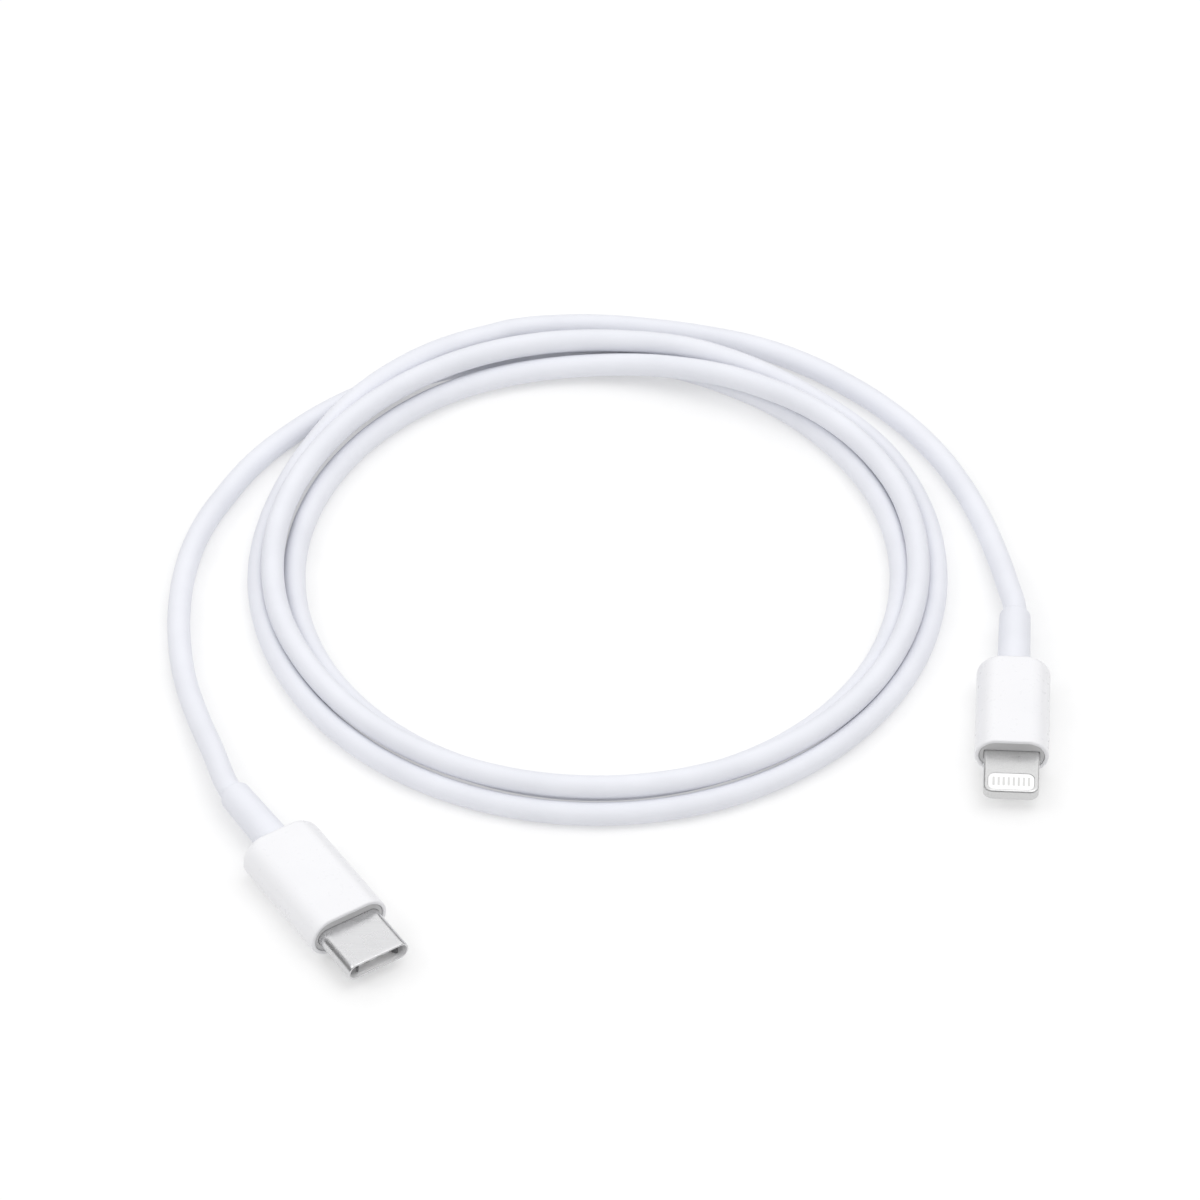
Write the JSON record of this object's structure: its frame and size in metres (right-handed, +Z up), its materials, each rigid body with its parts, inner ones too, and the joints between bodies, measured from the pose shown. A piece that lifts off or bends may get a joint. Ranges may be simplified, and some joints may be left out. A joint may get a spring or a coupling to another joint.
{
  "type": "charging cable",
  "caption": "White round cable in a loose round coil, with a type-C plug on one end and a flat tab plug with bare contacts on the other.",
  "frame": {"origin": "under the middle of the whole cable's bounding box, on the surface it lies on", "axes": "+Z up from the surface; +Y away from the plugs, towards the far side of the coil; +X towards the tab plug"},
  "size_m": [0.1068, 0.1143, 0.0055],
  "materials": {
    "jacket": "matte",
    "strain_relief": "matte",
    "housing": "satin gloss",
    "front_plate": "matte",
    "braid": "woven",
    "crimp": "satin",
    "wire": "satin",
    "glue": "cloudy",
    "can": "drawn",
    "board": "solder mask",
    "chip": "moulded",
    "board_parts": "matte",
    "shell": "fine blasted",
    "insulator": "moulded",
    "contact": "gold plated",
    "spring": "spring steel",
    "tab_steel": "fine blasted",
    "insert": "moulded",
    "pad": "plated"
  },
  "bodies": {
    "cord": {"cord_coil": "jacket", "cord_lead_type_c": "jacket", "cord_lead_tab": "jacket"},
    "type_c_plug": {"type_c_housing": "housing", "type_c_front_plate": "front_plate", "type_c_strain_relief": "strain_relief", "type_c_cord_end": "jacket", "type_c_braid": "braid", "type_c_crimp_ring": "crimp", "type_c_wires": "wire", "type_c_wire_block": "glue", "type_c_inner_can": "can", "type_c_board": "board", "type_c_chip": "chip", "type_c_board_parts": "board_parts", "type_c_shell": "shell", "type_c_contact_block": "insulator", "type_c_contact_guides": "insulator", "type_c_contact_tails": "contact", "type_c_middle_plate": "spring", "type_c_ground_springs": "spring"},
    "upper_contact_row": {"type_c_contacts_upper": "contact"},
    "lower_contact_row": {"type_c_contacts_lower": "contact"},
    "left_latch": {"type_c_latch_left": "spring"},
    "right_latch": {"type_c_latch_right": "spring"},
    "tab_plug": {"tab_housing": "housing", "tab_front_plate": "front_plate", "tab_strain_relief": "strain_relief", "tab_cord_end": "jacket", "tab_braid": "braid", "tab_crimp_ring": "crimp", "tab_wires": "wire", "tab_wire_block": "glue", "tab_inner_can": "can", "tab_board": "board", "tab_chip": "chip", "tab_board_parts": "board_parts", "tab_frame": "tab_steel", "tab_insert": "insert", "tab_contacts_upper": "pad", "tab_contacts_lower": "pad"}
  },
  "joints": [
    {"name": "type_c_plug_flex", "type": "hinge", "parent": "cord", "child": "type_c_plug", "pos_m": [-0.04152, -0.03191, 0.00275], "axis": [0, 0, 1], "range_deg": [-30, 30], "stiffness_Nm_per_rad": 0.012, "deforming": ["type_c_strain_relief"]},
    {"name": "tab_plug_flex", "type": "hinge", "parent": "cord", "child": "tab_plug", "pos_m": [0.04945, -0.00196, 0.0026], "axis": [0, 0, 1], "range_deg": [-30, 30], "stiffness_Nm_per_rad": 0.012, "deforming": ["tab_strain_relief"]},
    {"name": "left_latch_spring", "type": "hinge", "parent": "type_c_plug", "child": "left_latch", "pos_m": [-0.02694, -0.04831, 0.00275], "axis": [0, 0, 1], "range_deg": [0, 1.8], "stiffness_Nm_per_rad": 0.02},
    {"name": "right_latch_spring", "type": "hinge", "parent": "type_c_plug", "child": "right_latch", "pos_m": [-0.03247, -0.0519, 0.00275], "axis": [0, 0, -1], "range_deg": [0, 1.8], "stiffness_Nm_per_rad": 0.02},
    {"name": "upper_contact_spring", "type": "hinge", "parent": "type_c_plug", "child": "upper_contact_row", "pos_m": [-0.0297, -0.05011, 0.00323], "axis": [-0.8387, -0.5446, 0], "range_deg": [0, 1.5], "stiffness_Nm_per_rad": 0.02},
    {"name": "lower_contact_spring", "type": "hinge", "parent": "type_c_plug", "child": "lower_contact_row", "pos_m": [-0.0297, -0.05011, 0.00227], "axis": [0.8387, 0.5446, 0], "range_deg": [0, 1.5], "stiffness_Nm_per_rad": 0.02}
  ]
}
